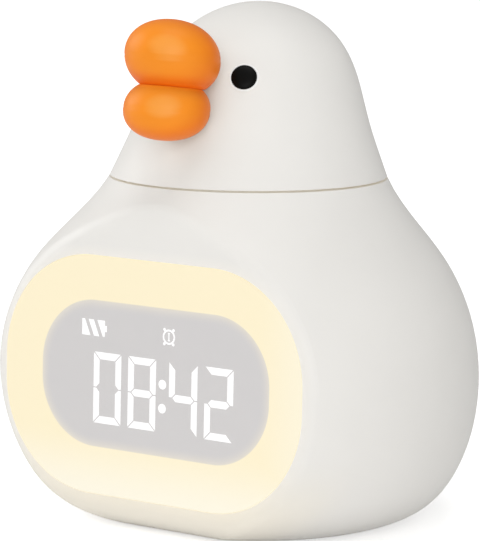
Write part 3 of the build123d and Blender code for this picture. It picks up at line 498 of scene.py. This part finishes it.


# ---- orange of the beak --------------------------------------------------------------
# Painted light on the beak: a paler orange as a painted highlight on each lobe's front, deeper oranges as
# painted shade at the sides and above the crease.
BEAK_PAINTED_HIGHLIGHT = (0.985, 0.365, 0.055)
BEAK_ORANGE = (0.97, 0.293, 0.015)
BEAK_PAINTED_SIDE_SHADE = (0.91, 0.205, 0.005)
BEAK_PAINTED_CREASE_SHADE = (0.95, 0.145, 0.001)
BEAK_BOUNCE = (0.60, 0.42, 0.31)        # what the white head picks up from the beak
BEAK_HIGHLIGHT_WAY = (0.468, -0.831, 0.304)     # the way that the painted highlight on each lobe faces
BEAK_UNSHADED_WAY = (0.33, -0.89, 0.31)       # the way from which painted shade deepens each lobe towards its sides
HIGHLIGHT_TURN = (0.88, 1.0)                # see turned_to
SIDE_SHADE_TURN = (0.15, 0.85)
CREASE_SHADE_REACH = 3.2 * MM                   # painted shade darkens the upper lobe this far above the crease
CREASE_SHADE_SHARE = 0.8
CREASE_SLACK = 0.02 * MM
GROOVE_ENDS = (0.1 * MM, 1.0 * MM)      # glow painted between the lobes to lift the crease's shade, by distance from the crease
PAINTED_GROOVE_GLOW = 0.10
PAINTED_GROOVE_TINT = (1.0, 0.18, 0.0)


def beak_material():
    """Soft-touch orange plastic, with a painted highlight in front, painted shade at the sides and above
    the crease, and a glow painted in the groove between the lobes.
    """
    graph = plastic("beak_orange", BEAK_ORANGE, 0.46, grain=0.3 * MM, specular=0.22)
    # painted highlight on the front of each lobe, and painted shade towards its sides
    front = graph.span(graph.turned_to(BEAK_HIGHLIGHT_WAY), *HIGHLIGHT_TURN)
    facing = graph.span(graph.turned_to(BEAK_UNSHADED_WAY), *SIDE_SHADE_TURN)
    _, y, z = graph.split(graph.place())
    crease = graph.math("SUBTRACT", BEAK_SPLIT + BEAK_TILT * BEAK_SPLIT_Y,
                        graph.math("MULTIPLY", y, BEAK_TILT))
    above = graph.math("SUBTRACT", z, crease)
    # painted shade on the upper lobe just above the crease
    crease_shade = graph.math("MULTIPLY", graph.span(above, 0.0, CREASE_SHADE_REACH, 1.0, 0.0),
                      graph.math("GREATER_THAN", above, -CREASE_SLACK))
    # painted shade on the sides of each lobe
    colour = graph.mix(facing, BEAK_PAINTED_SIDE_SHADE, graph.base())
    colour = graph.mix(front, colour, BEAK_PAINTED_HIGHLIGHT)
    colour = graph.mix(graph.math("MULTIPLY", crease_shade, CREASE_SHADE_SHARE), colour, BEAK_PAINTED_CREASE_SHADE)
    graph.look("Base Color", graph.mix(graph.ray("Is Diffuse Ray"), colour, BEAK_BOUNCE))
    # glow painted in the groove between the lobes
    graph.look("Emission Color", PAINTED_GROOVE_TINT)
    graph.look("Emission Strength",
               graph.span(graph.math("ABSOLUTE", above), *GROOVE_ENDS, PAINTED_GROOVE_GLOW, 0.0))
    return graph.material


def all_materials():
    """Every material by name. The record's slots have the same names."""
    made = {
        "body_white": body_material(),
        "head_white": head_material(),
        "milky_lens": lens_material(),
        "display_light": mark_material(),
        "circuit_board": board_material(),
        "beak_orange": beak_material(),
    }
    for name, look in PLASTICS.items():
        made[name] = plastic(name, **look).material
    for name, look in METALS.items():
        made[name] = metal(name, **look).material
    return made


# ---- beak --------------------------------------------------------------------------
def lobe_vertex(mesh, spec, x, out, rise, above):
    """Point of a lobe, held on its own side of the crease."""
    y = spec["y"] + out - spec["lean"] * rise
    z = spec["z"] + rise - spec["tilt"] * out
    crease = BEAK_SPLIT - BEAK_TILT * (y - BEAK_SPLIT_Y)
    z = max(z, crease) if above else min(z, crease)
    return mesh.verts.new((x, y, z))


def lobe_mesh(name, spec, above):
    """Smooth cushion, cut flat at the crease, with a fine parting line at its middle."""
    power = 2 / spec["power"]
    mesh = bmesh.new()
    grid = []
    for i in range(1, LOBE_ROWS):
        turn = math.pi * (i / LOBE_ROWS - 0.5)
        rise = math.copysign(abs(math.sin(turn)) ** power, turn) * spec["tall"]
        parting = PARTING_DEPTH / spec["across"] * math.exp(-(rise / PARTING_WIDTH) ** 2)
        reach = math.cos(turn) ** power * (1 - parting)
        ring = []
        for angle in turns(LOBE_COLUMNS):
            x = reach * spec["across"] * math.cos(angle)
            out = reach * spec["along"] * math.sin(angle)
            ring.append(lobe_vertex(mesh, spec, x, out, rise, above))
        grid.append(ring)
    for lower, upper in zip(grid, grid[1:]):
        join_rings(mesh, lower, upper)
    for ring, side in ((grid[0][::-1], -1), (grid[-1], 1)):
        pole = lobe_vertex(mesh, spec, 0, 0, side * spec["tall"], above)
        for first, second in zip(ring, ring[1:] + ring[:1]):
            mesh.faces.new((first, second, pole))
    for face in mesh.faces:
        face.smooth = True
    return finished(mesh, name)


def turned_mesh(name, profile, spot, axis, open_ends=False):
    """Profile of (radius, height) points turned about an axis through a spot, as a closed form."""
    side = Vector((0, 0, 1)).cross(axis).normalized()
    up = axis.cross(side)
    mesh = bmesh.new()
    rings = []
    for radius, height in profile:
        ring = []
        for angle in turns(TURNED_COLUMNS):
            out = side * math.cos(angle) + up * math.sin(angle)
            ring.append(mesh.verts.new(spot + out * radius + axis * height))
        rings.append(ring)
    pairs = list(zip(rings, rings[1:]))
    if open_ends:
        pairs.append((rings[-1], rings[0]))
    else:
        mesh.faces.new(rings[0])
        mesh.faces.new(rings[-1][::-1])
    for first, second in pairs:
        join_rings(mesh, second, first)
    for face in mesh.faces:
        face.smooth = len(face.verts) == 4
    bmesh.ops.recalc_face_normals(mesh, faces=mesh.faces)
    return finished(mesh, name)


def make_beak(material):
    profile = [(radius * MM, reach * MM) for radius, reach in ROOT_OUTLINE]
    for name, spec, above, spot in (("upper_beak", UPPER_LOBE, True, UPPER_ROOT),
                                    ("lower_beak", LOWER_LOBE, False, LOWER_ROOT)):
        lobe = lobe_mesh(name, spec, above)
        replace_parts(new_piece(name + "_lobe", lobe, "head", material), name)
        root = turned_mesh(name + "_root", profile, spot, Vector((0, -1, 0)))
        new_piece(name + "_root", root, "head", material)


# ---- eyes --------------------------------------------------------------------------
def eye_profile():
    """From near the top of the dome to its foot, sunk in the head."""
    drop = EYE_RADIUS ** 2 / (2 * HEAD_CURVE)
    power = 2 / EYE_FULLNESS
    points = []
    for i in range(EYE_STEPS + 1):
        angle = EYE_TOP * (1 - i / EYE_STEPS)
        points.append((EYE_RADIUS * math.cos(angle) ** power,
                       (EYE_PROUD + drop) * math.sin(angle) ** power - drop))
    return points + [(EYE_RADIUS, -drop - EYE_SINK)]


def lip_profile():
    """Half-round bead just outside the eye, with its foot sunk in the head."""
    half = LIP_WIDTH / 2
    middle = EYE_RADIUS + half
    drop = middle ** 2 / (2 * HEAD_CURVE)
    points = []
    for i in range(LIP_STEPS + 1):
        angle = math.pi * (1 - i / LIP_STEPS)
        points.append((middle + half * math.cos(angle), LIP_PROUD * math.sin(angle) - drop))
    return points + [(middle + half, -drop - EYE_SINK), (middle - half, -drop - EYE_SINK)]


def make_eyes(black, white):
    for name, side in (("left_eye", 1), ("right_eye", -1)):
        spot = Vector((side * EYE_SPOT.x, EYE_SPOT.y, EYE_SPOT.z))
        normal = direction(side * EYE_AZIMUTH, EYE_ELEVATION)
        dome = turned_mesh(name + "_dome", eye_profile(), spot, normal)
        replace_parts(new_piece(name + "_dome", dome, "head", black), name)
        lip = turned_mesh(name + "_lip", lip_profile(), spot, normal, open_ends=True)
        new_piece(name + "_lip", lip, "head", white)


# ---- outlines ----------------------------------------------------------------------
def edges(points):
    """Each point of an outline with the next one."""
    return list(zip(points, points[1:] + points[:1]))


def anticlockwise(points):
    """The outline, reversed if it runs clockwise."""
    area = sum(ax * bz - bx * az for (ax, az), (bx, bz) in edges(points))
    return points[::-1] if area < 0 else points


def shrunk(points, amount):
    """A convex outline moved in by an even amount."""
    lines = []
    for (ax, az), (bx, bz) in edges(anticlockwise(points)):
        length = math.hypot(bx - ax, bz - az)
        nx, nz = -(bz - az) / length, (bx - ax) / length
        lines.append((nx, nz, nx * ax + nz * az + amount))
    moved = []
    for (a, b, c), (d, e, f) in zip(lines[-1:] + lines[:-1], lines):
        cross = a * e - b * d
        moved.append(((c * e - b * f) / cross, (a * f - c * d) / cross))
    return moved


def circle(x, z, radius, steps=ROUND_STEPS):
    return [(x + radius * math.cos(angle), z + radius * math.sin(angle)) for angle in turns(steps)]


def box(x, z, width, tall):
    """Outline of an upright rectangle about a centre."""
    return [(x + s * width / 2, z + t * tall / 2) for s, t in ((-1, -1), (1, -1), (1, 1), (-1, 1))]


# ---- display -----------------------------------------------------------------------
def digit_outlines():
    """The seven bars of a digit by letter, from its lower left corner, mitred."""
    joint = DIGIT_JOINT / 2
    left, right = -joint, DIGIT_WIDTH + joint
    foot, top = -joint, DIGIT_TALL + joint
    middle = (foot + top) / 2
    bar = DIGIT_STROKE + DIGIT_JOINT
    half = bar / 2
    outlines = {
        "a": [(left, top), (left + bar, top - bar), (right - bar, top - bar), (right, top)],
        "d": [(left, foot), (right, foot), (right - bar, foot + bar), (left + bar, foot + bar)],
        "g": [
            (left + half, middle), (left + bar, middle - half), (right - bar, middle - half),
            (right - half, middle), (right - bar, middle + half), (left + bar, middle + half),
        ],
    }
    uprights = {"f": (left, top, 1, -1), "b": (right, top, -1, -1),
                "e": (left, foot, 1, 1), "c": (right, foot, -1, 1)}
    for letter, (side, end, inward, onward) in uprights.items():
        outlines[letter] = [
            (side, end), (side + inward * bar, end + onward * bar),
            (side + inward * bar, middle - onward * half),
            (side + inward * half, middle), (side, middle),
        ]
    return {letter: shrunk(points, joint) for letter, points in outlines.items()}


def time_outlines():
    bars = digit_outlines()
    outlines = []
    for i, digit in enumerate(TIME):
        left = DIGITS_LEFT + i * DIGIT_PITCH + (COLON_SPACE if i >= COLON_AFTER else 0.0)
        for letter in SEGMENTS[digit]:
            outlines.append([(left + x, DIGITS_FOOT + z) for x, z in bars[letter]])
    colon_gap = COLON_SPACE - (DIGIT_PITCH - DIGIT_WIDTH)
    colon = DIGITS_LEFT + COLON_AFTER * DIGIT_PITCH + colon_gap / 2
    for rise in (-COLON_RISE, COLON_RISE):
        outlines.append(circle(colon, DIGITS_FOOT + DIGIT_TALL / 2 + rise, COLON_RADIUS))
    return outlines


def battery_outlines():
    """Three bars with slanted cuts between them, and the nub at the right."""
    left, right = BATTERY_LEFT, BATTERY_LEFT + BATTERY_WIDTH
    foot, top = BATTERY_FOOT, BATTERY_FOOT + BATTERY_TALL
    first = left + BATTERY_FIRST
    second = first + BATTERY_GAP
    third = second + BATTERY_BAR + BATTERY_GAP
    nub_width, nub_tall = BATTERY_NUB
    return [
        [(left, foot), (first + BATTERY_SLANT, foot), (first, top), (left, top)],
        [(second + BATTERY_SLANT, foot), (second + BATTERY_BAR + BATTERY_SLANT, foot),
         (second + BATTERY_BAR, top), (second, top)],
        [(third + BATTERY_SLANT, foot), (right, foot), (right, top), (third, top)],
        box(right + nub_width / 2, (foot + top) / 2, nub_width, nub_tall),
    ]


def alarm_outlines():
    """Four knobs round the alarm sign's ring, and a 1 in it."""
    x, z = ALARM_AT
    aside, rise = ALARM_KNOB_AT
    outlines = [circle(x + s * aside, z + t * rise, ALARM_KNOB, KNOB_STEPS)
                for s in (-1, 1) for t in (-1, 1)]
    outlines.append(box(x, z, *ALARM_HAND))
    for t in (-1, 1):
        outlines.append(box(x, z + t * ALARM_HAND[1] / 2, *ALARM_FOOT))
    return outlines


def plates(name, outlines, rings=()):
    """Thin plates on the face, one for each outline, and flat rings given as two outlines."""
    behind = MARK_PROUD - MARK_DEPTH
    mesh = bmesh.new()

    def loop(points, proud):
        return [mesh.verts.new(on_face(x, z, proud)) for x, z in points]

    for points in outlines:
        points = anticlockwise(points)
        front, back = loop(points, MARK_PROUD), loop(points, behind)
        mesh.faces.new(front)
        mesh.faces.new(back[::-1])
        join_rings(mesh, back, front)
    for inner, outer in rings:
        loops = [loop(outer, MARK_PROUD), loop(inner, MARK_PROUD), loop(inner, behind), loop(outer, behind)]
        for first, second in edges(loops):
            join_rings(mesh, first, second)
    return finished(mesh, name)


def make_display(material):
    ring = [circle(*ALARM_AT, radius) for radius in (ALARM_RADIUS - ALARM_RING, ALARM_RADIUS)]
    for name, outlines, rings in (
        ("time_digits", time_outlines(), []),
        ("battery_sign", battery_outlines(), []),
        ("alarm_sign", alarm_outlines(), [ring]),
    ):
        new_piece(name, plates(name, outlines, rings), "body", material)


# ---- light, floor and camera -------------------------------------------------------
WORLD_LIGHT = 0.38
FLOOR_WHITE = (0.90, 0.90, 0.90)
FLOOR_ROUGHNESS = 0.9
FLOOR_HALF = 4.0
FLOOR_GLOW = 0.07               # soft light that the pale floor gives back
FLOOR_LIFT = (0.45, 0.72)       # added where the camera looks at the floor, near and far
FLOOR_NEAR = (0.10, 0.60)       # metres from the clock
LAMP_AIM = Vector((0, -10 * MM, 60 * MM))
LAMP_DISTANCE = 1.2
LAMP_SIZE = 0.8
# Name, degrees round from the clock's front towards +X, degrees up, power.
LAMPS = (("key", 38, 15, 5.1), ("left", -75, 22, 4.9), ("top", 60, 82, 4.2))


def make_world():
    """Even soft light, and a white background for the camera."""
    world = bpy.data.worlds.new("studio")
    bpy.context.scene.world = world
    world.use_nodes = True
    tree = world.node_tree
    background = tree.nodes["Background"]
    paths = tree.nodes.new("ShaderNodeLightPath")
    seen = tree.nodes.new("ShaderNodeMath")
    seen.operation = "MAXIMUM"
    tree.links.new(paths.outputs["Is Camera Ray"], seen.inputs[0])
    tree.links.new(paths.outputs["Is Transmission Ray"], seen.inputs[1])
    strength = tree.nodes.new("ShaderNodeMapRange")
    strength.inputs["To Min"].default_value = WORLD_LIGHT
    strength.inputs["To Max"].default_value = 1.0
    tree.links.new(seen.outputs[0], strength.inputs["Value"])
    tree.links.new(strength.outputs[0], background.inputs["Strength"])
    background.inputs["Color"].default_value = (1, 1, 1, 1)


def make_floor():
    mesh = bmesh.new()
    bmesh.ops.create_grid(mesh, x_segments=8, y_segments=8, size=FLOOR_HALF)
    floor = bpy.data.objects.new("floor", finished(mesh, "floor"))
    bpy.context.scene.collection.objects.link(floor)
    graph = Graph("floor_white")
    graph.look("Base Color", FLOOR_WHITE)
    graph.look("Roughness", FLOOR_ROUGHNESS)
    lift = graph.span(graph.distance(), *FLOOR_NEAR, *FLOOR_LIFT)
    lift = graph.math("MULTIPLY", graph.ray("Is Camera Ray"), lift)
    graph.look("Emission Color", (1, 1, 1))
    graph.look("Emission Strength", graph.math("ADD", lift, FLOOR_GLOW))
    floor.data.materials.append(graph.material)


def make_lamps():
    for name, azimuth, elevation, power in LAMPS:
        way = direction(math.radians(azimuth), math.radians(elevation))
        data = bpy.data.lights.new(name, "AREA")
        data.shape = "DISK"
        data.size = LAMP_SIZE
        data.energy = power
        lamp = bpy.data.objects.new(name, data)
        lamp.location = LAMP_AIM + way * LAMP_DISTANCE
        lamp.rotation_euler = (-way).to_track_quat("-Z", "Y").to_euler()
        bpy.context.scene.collection.objects.link(lamp)


def make_camera():
    ahead = -direction(CAMERA_AZIMUTH, CAMERA_ELEVATION)
    right = Vector((math.cos(CAMERA_AZIMUTH), math.sin(CAMERA_AZIMUTH), 0))
    up = right.cross(ahead)
    turned_right = right * math.cos(CAMERA_ROLL) + up * math.sin(CAMERA_ROLL)
    turned_up = up * math.cos(CAMERA_ROLL) - right * math.sin(CAMERA_ROLL)
    place = CAMERA_AIM + right * CAMERA_ASIDE - ahead * CAMERA_DISTANCE
    matrix = Matrix.Identity(4)
    for column, axis in enumerate((turned_right, turned_up, -ahead, place)):
        for row in range(3):
            matrix[row][column] = axis[row]
    data = bpy.data.cameras.new("camera")
    data.sensor_fit = "AUTO"
    data.sensor_width = SENSOR
    data.lens = CAMERA_FOCAL_PX * SENSOR / IMAGE_HEIGHT_PX
    data.clip_start, data.clip_end = CAMERA_CLIP
    camera = bpy.data.objects.new("camera", data)
    camera.matrix_world = matrix
    bpy.context.scene.collection.objects.link(camera)
    bpy.context.scene.camera = camera


# ---- the whole scene ---------------------------------------------------------------
materials = all_materials()
slots = {part["node"]: part["material_slot"] for part in frame["record"]["subparts"]}
for node, piece in NODES.items():
    piece.data.materials.clear()
    piece.data.materials.append(materials[slots[node]])
make_beak(materials["beak_orange"])
make_eyes(materials["eye_black"], materials["eye_lip"])
make_display(materials["display_light"])
make_world()
make_floor()
make_lamps()
make_camera()
bpy.context.scene.view_settings.view_transform = "Standard"
